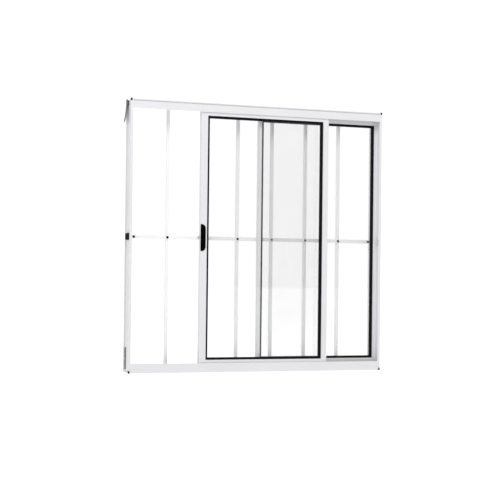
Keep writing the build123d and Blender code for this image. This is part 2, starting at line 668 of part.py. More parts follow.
# ---- write the nodes ----
def build_frame():
    """Outer frame, its hardware and the grille."""
    left = jamb_left()
    catch = HOOK_ARM_H / 2 + HOOK_CATCH
    save("left_jamb", left - hook_slot(-HALF_W, -WEB_X + WALL, catch))
    save("right_jamb", mirror_x(left))
    save("sill_track", sill_or_head(False))
    save("head_track", sill_or_head(True))
    save("frame_screws", *frame_screws())
    save("corner_pads", *corner_pads())
    low = strap_flat(STRAP_SET_IN)
    high = strap_flat(FRAME_H - STRAP_SET_IN - STRAP_L)
    save("anchor_strap_top_left", strap_flared())
    save("anchor_strap_bottom_left", low)
    save("anchor_strap_top_right", mirror_x(high))
    save("anchor_strap_bottom_right", mirror_x(low))
    upper = FRAME_H - STRAP_SET_IN - STRAP_L / 2
    lower = STRAP_SET_IN + STRAP_L / 2
    rivets = [strap_rivet(FRAME_H - 1.0 - STRAP_FOOT / 2), strap_rivet(lower)]
    rivets += [mirror_x(strap_rivet(upper)), mirror_x(strap_rivet(lower))]
    save("strap_rivets", *rivets)
    save("latch_keeper", latch_keeper())
    save("sash_stop", sash_stop())
    save("frame_brush_strips", *frame_pile())
    for number, x in enumerate(BAR_XS, start=1):
        save(f"grille_bar_{number}", grille_bar(x))
    save("grille_crossbar", crossbar())
    save("crossing_caps", *[cap(x, BAR_WALL) for x in BAR_XS])
    save("crossbar_end_caps", *[cap(x, BRACKET_T) for x in end_cap_xs()])
    save("crossbar_brackets", end_bracket(), mirror_x(end_bracket()))


def build_leaf(prefix, x0, x1, left_w, right_w, centre, names):
    """Profiles, glass, gaskets and screws of one leaf."""
    left_stile = stile(x0, x0 + left_w, 1, centre)
    right_stile = stile(x1 - right_w, x1, -1, centre)
    shanks = leaf_screw_shanks(x0, x1, left_w, right_w, centre)
    for shank in shanks:
        left_stile -= shank
        right_stile -= shank
    if prefix == "sash":
        left_stile -= hook_slot(x0 - 1, x0 + WALL + 1)
        left_stile -= handle_cut()
        left_stile -= rod_y(AXLE_R, LEAF_1, LEAF_1 + LEAF_T, hook_axis_x(), LATCH_Z)
    save(f"{prefix}_{names[0]}", left_stile)
    save(f"{prefix}_{names[1]}", right_stile)
    g0, g1, low, high = glass_box(x0 + left_w, x1 - right_w)
    for name, top in (("top_rail", True), ("bottom_rail", False)):
        member = rail(g0, g1, centre, top)
        for shank in shanks:
            member -= shank
        save(f"{prefix}_{name}", member)
    save(f"{prefix}_glass", pane(g0, g1, low, high, centre))
    bites = [min(CHANNEL_H, w - 2 * WALL) - GASKET_FIT for w in (left_w, right_w)]
    for side, shape in gaskets(g0, g1, low, high, centre, bites).items():
        save(f"{prefix}_gasket_{side}", shape)
    save(f"{prefix}_screws", *leaf_screws(x0, x1, left_w, right_w, centre))
    save(f"{prefix}_top_guides", *top_guides(x0, x1, centre))


def build_latch():
    """Flush pull, thumb slide, hook and pin."""
    save("handle_shell", handle_shell())
    save("latch_slider", latch_slider())
    save("latch_hook", latch_hook())
    save("latch_pin", latch_pin())


def build_rollers():
    """Carriers, axles and wheels under the sliding leaf, and the fixed leaf's blocks."""
    save("roller_housings", *[roller_housing(x) for x in ROLLER_XS])
    save("roller_axles", *[roller_axle(x) for x in ROLLER_XS])
    save("roller_left", roller(ROLLER_XS[0]))
    save("roller_right", roller(ROLLER_XS[1]))
    save("fixed_leaf_blocks", *fixed_leaf_blocks())


build_frame()
build_leaf("fixed", FIXED_X0, FIXED_X1, FIXED_MEETING_STILE, JAMB_STILE, LEAF_2, ("interlock_stile", "jamb_stile"))
build_leaf("sash", SLIDING_X0, SLIDING_X1, LOCK_STILE, INTERLOCK_STILE, LEAF_1, ("lock_stile", "interlock_stile"))
build_latch()
build_rollers()
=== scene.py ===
"""Looks of a white aluminium sliding window with a built-in security grille.

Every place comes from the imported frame; sizes below are in metres unless a name says mm.
"""

import logging
import math
from dataclasses import dataclass, field
from enum import Enum
from typing import Iterable, Sequence

import bmesh
import bpy
import numpy as np
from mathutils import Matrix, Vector


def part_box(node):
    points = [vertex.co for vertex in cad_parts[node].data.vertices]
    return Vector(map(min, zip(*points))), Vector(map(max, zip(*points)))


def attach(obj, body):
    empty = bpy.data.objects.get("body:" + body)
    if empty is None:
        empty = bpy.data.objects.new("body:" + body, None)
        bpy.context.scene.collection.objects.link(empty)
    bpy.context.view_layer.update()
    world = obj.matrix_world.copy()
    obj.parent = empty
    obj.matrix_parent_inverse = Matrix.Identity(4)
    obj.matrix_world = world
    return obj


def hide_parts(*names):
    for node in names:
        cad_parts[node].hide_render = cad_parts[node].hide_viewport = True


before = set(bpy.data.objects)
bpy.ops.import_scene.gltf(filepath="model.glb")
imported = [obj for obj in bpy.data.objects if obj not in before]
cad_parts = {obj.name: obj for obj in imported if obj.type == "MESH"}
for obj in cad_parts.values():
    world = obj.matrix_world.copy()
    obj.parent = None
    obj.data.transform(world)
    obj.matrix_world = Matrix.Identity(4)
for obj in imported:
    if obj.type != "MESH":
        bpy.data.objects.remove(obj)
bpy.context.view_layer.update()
LOG = logging.getLogger("window")
MM = 0.001
SEAT = 1e-5  # step from a head to its shank, so that the two rings stay apart
MERGE_M = 2e-6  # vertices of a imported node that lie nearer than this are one
WELD_M = 1e-6  # the same for a new piece
WHITE = (1.0, 1.0, 1.0, 1.0)

Tree = bpy.types.NodeTree
Socket = bpy.types.NodeSocket
Piece = bpy.types.Object
Point = tuple[float, float, float]
Shares = tuple[tuple[float, float], ...]


# ---------------------------------------------------------------- colours and nodes
def linear(code: str) -> tuple[float, float, float, float]:
    """Turn an sRGB hex colour into a linear RGBA colour.

    Args:
        code: six hex digits after a hash sign.

    Returns:
        Linear red, green and blue, with alpha 1.
    """
    parts = np.array([int(code[i:i + 2], 16) for i in (1, 3, 5)]) / 255.0
    low = parts / 12.92
    high = ((parts + 0.055) / 1.055) ** 2.4
    return (*np.where(parts <= 0.04045, low, high).tolist(), 1.0)


def add_node(tree: Tree, kind: str, inputs: dict | None = None, stops: Iterable = (),
             **settings: object) -> bpy.types.Node:
    """Add one node, set its properties and fill or link its inputs.

    Args:
        tree: the node tree.
        kind: the node's type name.
        inputs: input name or number to a value or to an output socket.
        stops: for a colour ramp, the place and linear colour of its two ends.
        settings: node properties by name.

    Returns:
        The new node.
    """
    node = tree.nodes.new(kind)
    for name, value in settings.items():
        setattr(node, name, value)
    for name, value in (inputs or {}).items():
        if isinstance(value, bpy.types.NodeSocket):
            tree.links.new(value, node.inputs[name])
        else:
            node.inputs[name].default_value = value
    for number, (place, colour) in enumerate(stops):
        node.color_ramp.elements[number].position = place
        node.color_ramp.elements[number].color = colour
    return node


def blank_material(name: str) -> tuple[bpy.types.Material, Tree, Socket]:
    """Make a material whose node tree holds nothing but its coordinates.

    Args:
        name: the material's name.

    Returns:
        The material, its tree and the socket of the Object coordinates, in metres.
    """
    material = bpy.data.materials.new(name)
    material.use_nodes = True
    tree = material.node_tree
    tree.nodes.clear()
    return material, tree, add_node(tree, "ShaderNodeTexCoord").outputs["Object"]


# ---------------------------------------------------------------- finishes
@dataclass(frozen=True)
class Finish:
    """A surface finish: one principled shader with a fine pattern for colour, gloss and bump.

    The colour and the gloss follow broad clouds with the fine grain mixed in.
    """

    name: str
    colour: str
    second: str
    roughness: float
    grain_mm: float
    bump_mm: float
    metallic: float = 0.0
    spread: float = 0.04
    specular: float = 0.5
    sheen: float = 0.0
    pattern: str = "noise"
    clouds_per_m: float = 9.0
    cloud_share: float = 0.7
    grain_share: float = 0.3
    colour_span: tuple[float, float] = (0.30, 0.62)
    gloss_span: tuple[float, float] = (0.3, 0.7)

    def grain(self, tree: Tree, where: Socket) -> Socket:
        """Add the finish's own fine pattern, one cell per grain_mm.

        Args:
            tree: the node tree.
            where: Object coordinates, in metres.

        Returns:
            The pattern's value, from 0 to 1.
        """
        place = {"Vector": where, "Scale": 1.0 / (self.grain_mm * MM)}
        if self.pattern == "spangle":
            return add_node(tree, "ShaderNodeTexVoronoi", place).outputs["Distance"]
        place.update({"Detail": 3.0, "Roughness": 0.55})
        return add_node(tree, "ShaderNodeTexNoise", place).outputs["Fac"]

    def make(self) -> bpy.types.Material:
        """Build the material.

        Returns:
            A node material that reads Object coordinates.
        """
        material, tree, where = blank_material(self.name)
        grain = self.grain(tree, where)
        cloud = add_node(tree, "ShaderNodeTexNoise",
                         {"Vector": where, "Scale": self.clouds_per_m, "Detail": 4.0}).outputs["Fac"]
        clouds = add_node(tree, "ShaderNodeMath", {0: cloud, 1: self.cloud_share},
                          operation="MULTIPLY").outputs[0]
        blend = add_node(tree, "ShaderNodeMath", {0: grain, 1: self.grain_share, 2: clouds},
                         operation="MULTIPLY_ADD").outputs[0]
        stops = zip(self.colour_span, map(linear, (self.second, self.colour)))
        colour = add_node(tree, "ShaderNodeValToRGB", {"Fac": blend}, stops=stops).outputs["Color"]
        gloss = add_node(tree, "ShaderNodeMapRange",
                         {"Value": blend, "From Min": self.gloss_span[0], "From Max": self.gloss_span[1],
                          "To Min": self.roughness + self.spread,
                          "To Max": self.roughness - self.spread}).outputs[0]
        bump = add_node(tree, "ShaderNodeBump", {"Height": grain, "Strength": 1.0,
                                                 "Distance": self.bump_mm * MM}).outputs[0]
        shader = add_node(tree, "ShaderNodeBsdfPrincipled",
                          {"Base Color": colour, "Roughness": gloss, "Normal": bump,
                           "Metallic": self.metallic, "Specular IOR Level": self.specular,
                           "Sheen Weight": self.sheen})
        add_node(tree, "ShaderNodeOutputMaterial", {"Surface": shader.outputs[0]})
        return material


@dataclass(frozen=True)
class FloatGlass:
    """Clear 4 mm float glass: colourless to the eye, polished, with a trace of dried dust.

    Light passes it straight, as through any thin pane, and the lamps shine through it in full. The
    share that it mirrors grows from the head-on value of its index with the fifth power of the slant.
    """

    name: str = "clear_float_glass"
    tint: str = "#fafafa"
    dust: str = "#e9e9ea"
    ior: float = 1.5
    film_per_m: float = 6.0
    haze: float = 0.03
    dust_share: tuple[float, float] = (0.004, 0.035)
    slant_power: float = 5.0

    def make(self) -> bpy.types.Material:
        """Build the glass from a clear, a mirroring and a faint dusty part.

        Returns:
            A node material that reads Object coordinates.
        """
        material, tree, where = blank_material(self.name)
        film = add_node(tree, "ShaderNodeTexNoise",
                        {"Vector": where, "Scale": self.film_per_m, "Detail": 6.0}).outputs["Fac"]
        gloss = add_node(tree, "ShaderNodeMapRange", {"Value": film, "From Min": 0.35, "From Max": 0.8,
                                                      "To Min": 0.0, "To Max": self.haze}).outputs[0]
        share = add_node(tree, "ShaderNodeMapRange",
                         {"Value": film, "From Min": 0.45, "From Max": 0.85,
                          "To Min": self.dust_share[0], "To Max": self.dust_share[1]}).outputs[0]
        clear = add_node(tree, "ShaderNodeBsdfTransparent", {"Color": linear(self.tint)}).outputs[0]
        mirror = add_node(tree, "ShaderNodeBsdfGlossy", {"Color": WHITE, "Roughness": gloss}).outputs[0]
        grime = add_node(tree, "ShaderNodeBsdfDiffuse", {"Color": linear(self.dust)}).outputs[0]
        facing = add_node(tree, "ShaderNodeLayerWeight", {"Blend": 0.5}).outputs["Facing"]
        slant = add_node(tree, "ShaderNodeMath", {0: facing, 1: self.slant_power},
                         operation="POWER").outputs[0]
        head_on = ((self.ior - 1) / (self.ior + 1)) ** 2
        bend = add_node(tree, "ShaderNodeMath", {0: slant, 1: 1 - head_on, 2: head_on},
                        operation="MULTIPLY_ADD").outputs[0]
        pane = add_node(tree, "ShaderNodeMixShader", {0: bend, 1: clear, 2: mirror}).outputs[0]
        surface = add_node(tree, "ShaderNodeMixShader", {0: share, 1: pane, 2: grime}).outputs[0]
        lamp_ray = add_node(tree, "ShaderNodeLightPath").outputs["Is Shadow Ray"]
        open_air = add_node(tree, "ShaderNodeBsdfTransparent", {"Color": WHITE}).outputs[0]
        lit = add_node(tree, "ShaderNodeMixShader", {0: lamp_ray, 1: surface, 2: open_air}).outputs[0]
        add_node(tree, "ShaderNodeOutputMaterial", {"Surface": lit})
        return material


class Slot(Enum):
    """The record's material slots."""

    COAT = "white_powder_coat"
    RUBBER = "black_gasket_rubber"
    GLASS = "clear_float_glass"
    STRAP = "galvanised_strap_steel"
    ZINC = "zinc_plated_steel"
    NYLON = "black_moulded_nylon"
    GREY = "grey_nylon"
    PILE = "grey_brush_pile"


@dataclass
class Finishes:
    """All materials of the window, made once and looked up by slot."""

    made: dict[Slot, bpy.types.Material] = field(default_factory=dict)
    painted_light_tube_coat: bpy.types.Material | None = None

    def build(self) -> "Finishes":
        """Make each material.

        Returns:
            The same set, ready to dress pieces.
        """
        kinds = {
            # white polyester powder coat, cured: satin, with the orange peel of a sprayed film
            Slot.COAT: Finish("white_powder_coat", "#e0dfe2", "#dcdcde", 0.42, 1.6, 0.02, specular=0.4),
            # EPDM: matt, faintly dusty black rubber straight from the extruder
            Slot.RUBBER: Finish("black_epdm_rubber", "#050505", "#020202", 0.6, 0.6, 0.02, spread=0.06,
                                specular=0.15),
            # hot-dip galvanised strip, dulled: dark grey with a spangle of crystals
            Slot.STRAP: Finish("galvanised_strip_steel", "#7a7b7c", "#56585a", 0.5, 6.0, 0.03, metallic=0.85,
                               spread=0.12, pattern="spangle"),
            # zinc-plated fasteners: bright, slightly yellowed
            Slot.ZINC: Finish("zinc_plated_steel", "#c9cac6", "#a9aaa4", 0.3, 0.8, 0.01, metallic=1.0,
                              spread=0.08),
            # glass-filled nylon, moulded with a fine spark-eroded texture that takes its gloss away
            Slot.NYLON: Finish("black_moulded_nylon", "#040404", "#020202", 0.7, 0.7, 0.03, spread=0.07,
                               specular=0.03),
            # natural nylon: milky grey, slightly glossy
            Slot.GREY: Finish("grey_moulded_nylon", "#d2d3d4", "#bcbdbf", 0.45, 1.0, 0.02),
            # woven polypropylene pile: dry, soft, grey
            Slot.PILE: Finish("grey_brush_pile", "#8e9092", "#5d5f61", 0.9, 0.5, 0.1, sheen=0.4),
        }
        self.made = {slot: finish.make() for slot, finish in kinds.items()}
        self.made[Slot.GLASS] = FloatGlass().make()
        # the same coat on the thin tubes, painted whiter: painted light, a lit copy of the coat that
        # brightens the tubes
        self.painted_light_tube_coat = Finish("white_powder_coat_painted_lighter_on_tube", "#f1f0f2", "#ececee", 0.4, 1.3, 0.02,
                                specular=0.4).make()
        return self

    def dress(self, piece: Piece, slot: Slot) -> None:
        """Give a piece one slot's material, and a grille tube the whiter copy of the coat, which is painted
        light.

        Args:
            piece: the piece to dress.
            slot: its material slot.
        """
        # a grille tube takes the whiter copy of the coat: painted light
        on_tube = slot is Slot.COAT and piece.name.startswith("grille")
        piece.data.materials.clear()
        piece.data.materials.append(self.painted_light_tube_coat if on_tube else self.made[slot])


# ---------------------------------------------------------------- surfaces
def finish_skin(name: str, shape: bmesh.types.BMesh, smooth_deg: float = 35.0) -> Piece:
    """Weld a skin, turn its faces outwards and make an object of it at the origin.

    Args:
        name: the piece's name.
        shape: the skin; it is used up.
        smooth_deg: edges that bend more than this stay sharp.

    Returns:
        The new object, linked to the scene.
    """
    bmesh.ops.remove_doubles(shape, verts=shape.verts, dist=WELD_M)
    bmesh.ops.recalc_face_normals(shape, faces=shape.faces)
    mesh = bpy.data.meshes.new(name)
    shape.to_mesh(mesh)
    shape.free()
    mesh.shade_smooth()
    mesh.set_sharp_from_angle(angle=math.radians(smooth_deg))
    piece = bpy.data.objects.new(name, mesh)
    bpy.context.scene.collection.objects.link(piece)
    return piece


def mesh_piece(name: str, points: np.ndarray, faces: list[list[int]], smooth_deg: float = 35.0) -> Piece:
    """Make an object at the origin from points and faces.

    Args:
        name: the piece's name.
        points: X, Y and Z of each vertex along the last axis, in metres.
        faces: vertex numbers of each face, in order round it.
        smooth_deg: edges that bend more than this stay sharp.

    Returns:
        The new object, linked to the scene.
    """
    raw = bpy.data.meshes.new("raw_skin")
    raw.from_pydata(points.reshape(-1, 3).tolist(), [], faces)
    shape = bmesh.new()
    shape.from_mesh(raw)
    bpy.data.meshes.remove(raw)
    return finish_skin(name, shape, smooth_deg)


def grid_faces(rows: int, columns: int) -> np.ndarray:
    """Quads of a grid that closes on itself along its columns.

    Args:
        rows: points along the open way.
        columns: points along the closed way.

    Returns:
        Vertex numbers, four to a row.
    """
    i, j = np.meshgrid(np.arange(rows - 1), np.arange(columns), indexing="ij")
    k = (j + 1) % columns
    here, beyond = i * columns, (i + 1) * columns
    return np.stack([here + j, here + k, beyond + k, beyond + j], axis=-1).reshape(-1, 4)


def loft(name: str, rings: np.ndarray) -> Piece:
    """Join closed rings into a skin, with the first and last ring filled.

    Args:
        name: the piece's name.
        rings: array of shape (rings, points, 3).

    Returns:
        The closed piece.
    """
    count, size, _ = rings.shape
    near_end = np.arange(size)
    far_end = near_end + (count - 1) * size
    ends = [near_end[::-1].tolist(), far_end.tolist()]
    return mesh_piece(name, rings, grid_faces(count, size).tolist() + ends)


def turned(centre: Sequence[float], profile: Sequence[tuple[float, float]], axis: int,
           sides: int) -> np.ndarray:
    """Rings of a turned shape: radius and height pairs carried round an axis.

    The ring at height h and radius r is centre + h along the axis + r times the unit circle.

    Args:
        centre: the point on the axis at height 0.
        profile: (radius, height) pairs from one end to the other.
        axis: 0, 1 or 2 for X, Y or Z.
        sides: points on each ring.

    Returns:
        Array of shape (rings, sides, 3).
    """
    shape = np.array(profile)
    angle = np.linspace(0.0, math.tau, sides, endpoint=False)
    rings = np.zeros((len(shape), sides, 3))
    across = [a for a in range(3) if a != axis]
    rings[:, :, axis] = shape[:, 1:2]
    rings[:, :, across[0]] = shape[:, 0:1] * np.cos(angle)
    rings[:, :, across[1]] = shape[:, 0:1] * np.sin(angle)
    return rings + np.array(centre)


def rounded_box(low: Sequence[float], high: Sequence[float], power: float, sides: int = 40) -> np.ndarray:
    """Rings of a box with soft edges, as a superellipsoid.

    A point is centre + half size times (c(v)·c(u), c(v)·s(u), s(v)), where c and s are the cosine and
    sine of the angle with their size raised to the power.

    Args:
        low: lowest corner.
        high: highest corner.
        power: 1 gives an ellipsoid, near 0 a sharp box.
        sides: points on each ring.

    Returns:
        Array of shape (rings, sides, 3), from the bottom up.
    """
    low_corner, high_corner = np.array(low, float), np.array(high, float)
    middle, half = (low_corner + high_corner) / 2, (high_corner - low_corner) / 2
    u = np.linspace(0.0, math.tau, sides, endpoint=False)[None, :]
    v = np.linspace(-math.pi / 2, math.pi / 2, sides // 2 + 1)[:, None]

    def soft(value: np.ndarray) -> np.ndarray:
        """Keep the sign and raise the size to the power."""
        return np.sign(value) * np.abs(value) ** power

    unit = np.stack([soft(np.cos(v)) * soft(np.cos(u)), soft(np.cos(v)) * soft(np.sin(u)),
                     soft(np.sin(v)) * np.ones_like(u)], axis=-1)
    unit = unit[1:-1]
    return middle + half * unit


def join(name: str, parts: Sequence[Piece]) -> Piece:
    """Join pieces into one object with the given name.

    Args:
        name: the new piece's name.
        parts: the pieces, which are used up.

    Returns:
        The joined piece.
    """
    shape = bmesh.new()
    for part in parts:
        skin = part.data
        shape.from_mesh(skin)
        bpy.data.objects.remove(part)
        bpy.data.meshes.remove(skin)
    return finish_skin(name, shape)


def merged(node: str) -> bmesh.types.BMesh:
    """Read the skin of a CAD node, with the vertices that its faces share made one.

    Args:
        node: the CAD node's name.

    Returns:
        A new skin, which the caller has to free.
    """
    shape = bmesh.new()
    shape.from_mesh(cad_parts[node].data)
    bmesh.ops.remove_doubles(shape, verts=shape.verts, dist=MERGE_M)
    return shape


def softened(node: str, radius_mm: float, flat_deg: float = 0.6, edge_deg: float = 40.0) -> Piece:
    """A copy of a CAD node with its edges eased, as paint or a die leaves them.

    Args:
        node: the CAD node's name.
        radius_mm: the edges' radius.
        flat_deg: faces that bend less than this against each other become one.
        edge_deg: edges that bend more than this are eased.

    Returns:
        The new piece, with its modifiers applied.
    """
    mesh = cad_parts[node].data.copy()
    shape = merged(node)
    bmesh.ops.dissolve_limit(shape, angle_limit=math.radians(flat_deg), verts=shape.verts, edges=shape.edges)
    shape.to_mesh(mesh)
    shape.free()
    mesh.materials.clear()
    mesh.shade_smooth()
    piece = bpy.data.objects.new(f"{node}_finished", mesh)
    bpy.context.scene.collection.objects.link(piece)
    bevel = piece.modifiers.new("eased_edges", "BEVEL")
    bevel.width = radius_mm * MM
    bevel.segments = 2
    bevel.limit_method = "ANGLE"
    bevel.angle_limit = math.radians(edge_deg)
    bevel.miter_outer = "MITER_ARC"
    bevel.use_clamp_overlap = True
    piece.modifiers.new("even_shading", "WEIGHTED_NORMAL").keep_sharp = True
    graph = bpy.context.evaluated_depsgraph_get()
    done = bpy.data.meshes.new_from_object(piece.evaluated_get(graph))
    piece.modifiers.clear()
    piece.data = done
    done.name = piece.name
    return piece


# ---------------------------------------------------------------- places
@dataclass(frozen=True)
class Space:
    """The box of a CAD node: its low and high corner, with short names for its sides."""

    low: Vector
    high: Vector

    @classmethod
    def of(cls, *nodes: str) -> "Space":
        """The box around one or more nodes.

        Args:
            nodes: names of CAD nodes.

        Returns:
            The box, in the shared frame.
        """
        boxes = [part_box(n) for n in nodes]
        low = Vector(min(b[0][i] for b in boxes) for i in range(3))
        high = Vector(max(b[1][i] for b in boxes) for i in range(3))
        return cls(low, high)

    @property
    def side(self) -> float:
        """-1 for a box in the left half of the window, 1 for one in the right half."""
        return -1.0 if self.middle.x < 0 else 1.0

    @property
    def middle(self) -> Vector:
        """Centre of the box."""
        return (self.low + self.high) / 2

    @property
    def size(self) -> Vector:
        """Side lengths of the box."""
        return self.high - self.low


def islands(node: str) -> list[Space]:
    """The box of each separate solid in a grouped node.

    Each vertex starts with its own number. Both ends of an edge then take the lower number of the two,
    over and over, until all vertices of a solid carry the same one.

    Args:
        node: the CAD node's name.

    Returns:
        One box per solid, ordered by X and then Z.
    """
    shape = merged(node)
    mesh = bpy.data.meshes.new("island_search")
    shape.to_mesh(mesh)
    shape.free()
    places = np.zeros(len(mesh.vertices) * 3)
    ends = np.zeros(len(mesh.edges) * 2, dtype=np.int32)
    mesh.vertices.foreach_get("co", places)
    mesh.edges.foreach_get("vertices", ends)
    bpy.data.meshes.remove(mesh)
    places = places.reshape(-1, 3)
    one, other = ends.reshape(-1, 2).T
    labels = np.arange(len(places))
    before = np.zeros_like(labels) - 1
    while not np.array_equal(labels, before):
        before = labels.copy()
        lower = np.minimum(before[one], before[other])
        np.minimum.at(labels, one, lower)
        np.minimum.at(labels, other, lower)
    groups = [places[labels == label] for label in np.unique(labels)]
    found = [Space(Vector(group.min(0)), Vector(group.max(0))) for group in groups]
    return sorted(found, key=lambda space: (round(space.middle.x, 4), round(space.middle.z, 4)))


# ---------------------------------------------------------------- sub-assemblies
@dataclass
class Assembly:
    """What all sub-assemblies share: finishes, a body and the way a piece is handed over."""

    finishes: Finishes
    body: str

    def place(self, piece: Piece, slot: Slot, *stands_for: str) -> Piece:
        """Dress a piece, let it ride and hide the CAD nodes that it stands for.

        Args:
            piece: the finished piece.
            slot: its material slot.
            stands_for: names of the CAD nodes that it replaces.

        Returns:
            The same piece.
        """
        self.finishes.dress(piece, slot)
        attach(piece, self.body)
        if stands_for:
            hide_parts(*stands_for)
        LOG.info("%s: %d faces, rides on %s", piece.name, len(piece.data.polygons), self.body)
        return piece

    def ease(self, slot: Slot, radius_mm: float, *nodes: str) -> None:
        """Replace CAD nodes by copies with eased edges."""
        for node in nodes:
            self.place(softened(node, radius_mm), slot, node)


@dataclass
class OuterFrame(Assembly):
    """Head, sill, jambs and what is fixed on them."""

    profile_edge_mm: float = 0.5
    keeper_edge_mm: float = 0.8
    pad_power: float = 0.3
    strap_edge_mm: float = 0.3
    strap_edge_power: int = 24
    strap_rib_mm: float = 0.8
    rib_width: float = 0.22
    rib_start: float = 0.15
    rib_run: float = 0.7
    head_depth: float = 2.2 * MM
    head_shares: Shares = ((0.12, 0.35), (0.3, 0.12), (0.55, 0.02), (0.85, 0.2), (1.0, 0.55), (1.0, 1.0))
    shank_radius: float = 2.0 * MM
    point_length: float = 1.5 * MM
    point_radius: float = 0.3 * MM
    tuft_pitch: float = 1.6 * MM
    tuft_half: float = 0.62
    tuft_taper: float = 0.35
    tuft_lean: float = 0.25 * MM
    tuft_root: float = 0.4 * MM
    pile_back: float = 0.5 * MM
    first_seed: int = 11

    def build(self) -> None:
        """Build every piece of the outer frame."""
        self.ease(Slot.COAT, self.profile_edge_mm, "head_track", "sill_track", "left_jamb", "right_jamb")
        self.ease(Slot.NYLON, self.keeper_edge_mm, "latch_keeper")
        self.corner_pads()
        self.straps()
        self.heads("frame_screws", Slot.ZINC)
        self.heads("strap_rivets", Slot.ZINC)
        self.sash_stop()
        self.brush_strips()

    def corner_pads(self) -> None:
        """Four moulded pads as soft-edged boxes."""
        parts = [loft("pad", rounded_box(s.low, s.high, self.pad_power)) for s in islands("corner_pads")]
        self.place(join("corner_pad_set", parts), Slot.NYLON, "corner_pads")

    def straps(self) -> None:
        """Anchor straps: three flat ones and the flared one, which bends out in a smooth curve."""
        for node in ("anchor_strap_bottom_left", "anchor_strap_top_right", "anchor_strap_bottom_right"):
            self.place(self.strap(node), Slot.STRAP, node)
        self.ease(Slot.STRAP, self.strap_edge_mm, "anchor_strap_top_left")

    def strap(self, node: str) -> Piece:
        """One flat strap: a thin section with eased edges carried from its top to its foot.

        Along the strap s runs from 0 to 1, across it v runs from -1 to 1. A shallow rib is pressed
        along its middle: it rises and falls as a sine from rib_start over rib_run, and falls off
        across the width as a bell curve. The thickness drops at the edges with a high power of v.

        Args:
            node: the CAD node whose place the strap takes.

        Returns:
            The closed strip.
        """
        space = Space.of(node)
        inner = space.high.x if space.side < 0 else space.low.x
        s = np.linspace(0.0, 1.0, 40)[:, None]
        v = np.linspace(-1.0, 1.0, 17)
        edge = self.strap_edge_mm * MM * np.abs(v) ** self.strap_edge_power
        rib = self.strap_rib_mm * MM * np.exp(-(v / self.rib_width) ** 2)
        rise = np.sin(math.pi * np.clip((s - self.rib_start) / self.rib_run, 0.0, 1.0))
        outer = space.size.x - edge[None, :] + rib[None, :] * rise
        back = np.broadcast_to(edge[None, ::-1], outer.shape)
        rings = np.zeros((len(s), 2 * len(v), 3))
        rings[:, :, 0] = inner + space.side * np.concatenate([outer, back], axis=1)
        rings[:, :, 1] = space.middle.y + space.size.y / 2 * np.concatenate([v, v[::-1]])[None, :]
        rings[:, :, 2] = space.high.z - space.size.z * s
        return loft(f"{node}_strip", rings)

    def heads(self, node: str, slot: Slot) -> None:
        """Screws or rivets along X: a turned, domed head with a driven recess, and a shank if long.

        Args:
            node: the grouped CAD node that they stand for.
            slot: their material slot.
        """
        parts = []
        for space in islands(node):
            outer = space.low.x if space.side < 0 else space.high.x
            radius, length = space.size.y / 2, space.size.x
            head = min(length, self.head_depth)
            rim = [(across * radius, along * head) for across, along in self.head_shares]
            if length > 2 * head:
                rim += [(self.shank_radius, head + SEAT), (self.shank_radius, length - self.point_length),
                        (self.point_radius, length)]
            inward = [(across, -space.side * along) for across, along in rim]
            parts.append(loft("head", turned((outer, space.middle.y, space.middle.z), inward, 0, 24)))
        self.place(join(f"{node}_set", parts), slot, node)

    def sash_stop(self) -> None:
        """Milky moulded buffer with soft edges."""
        space = Space.of("sash_stop")
        self.place(loft("sash_stop_buffer", rounded_box(space.low, space.high, 0.3)), Slot.GREY, "sash_stop")

    def brush_strips(self) -> None:
        """Pile strips: a woven back with a row of leaning tufts, each a bent four-sided blade."""
        parts = []
        for number, space in enumerate(islands("frame_brush_strips")):
            back = (space.high.x, space.low.y + self.pile_back, space.high.z)
            parts.append(loft("back", rounded_box(space.low, back, 0.1)))
            parts.append(self.tufts(space, self.first_seed + number))
        self.place(join("brush_strip_pair", parts), Slot.PILE, "frame_brush_strips")

    def tufts(self, space: Space, seed: int) -> Piece:
        """A row of blades, all worked out at once.

        Blade n stands at x = low + (n + 1/2) times the pitch. Its four levels narrow evenly towards
        the tip and lean sideways and up or down, by a small random way times the level squared.

        Args:
            space: the strip's box; the blades stand along X and point along Y.
            seed: start of the random draws.

        Returns:
            All blades as one piece.
        """
        chance = np.random.default_rng(seed)
        count = int(space.size.x / self.tuft_pitch) - 1
        x = space.low.x + self.tuft_pitch * (0.5 + np.arange(count))
        lean = chance.normal(0.0, self.tuft_lean, (count, 2))
        level = np.linspace(0.0, 1.0, 4)
        angle = np.linspace(0.0, math.tau, 4, endpoint=False) + math.pi / 4
        wide = (1.0 - self.tuft_taper * level)[None, :, None] * np.ones((count, 1, 1))
        bent = (level ** 2)[None, :, None]
        points = np.zeros((count, 4, 4, 3))
        points[..., 0] = x[:, None, None] + self.tuft_half * self.tuft_pitch * wide * np.cos(angle) \
            + lean[:, 0, None, None] * bent
        points[..., 2] = space.middle.z + self.tuft_half * space.size.z * wide * np.sin(angle) \
            + lean[:, 1, None, None] * bent
        points[..., 1] = space.low.y + self.tuft_root + (space.size.y - self.tuft_root) * level[None, :, None]
        blade = np.concatenate([grid_faces(4, 4), [[3, 2, 1, 0], [12, 13, 14, 15]]])
        faces = blade + 16 * np.arange(count)[:, None, None]
        return mesh_piece("tufts", points, faces.reshape(-1, 4).tolist())


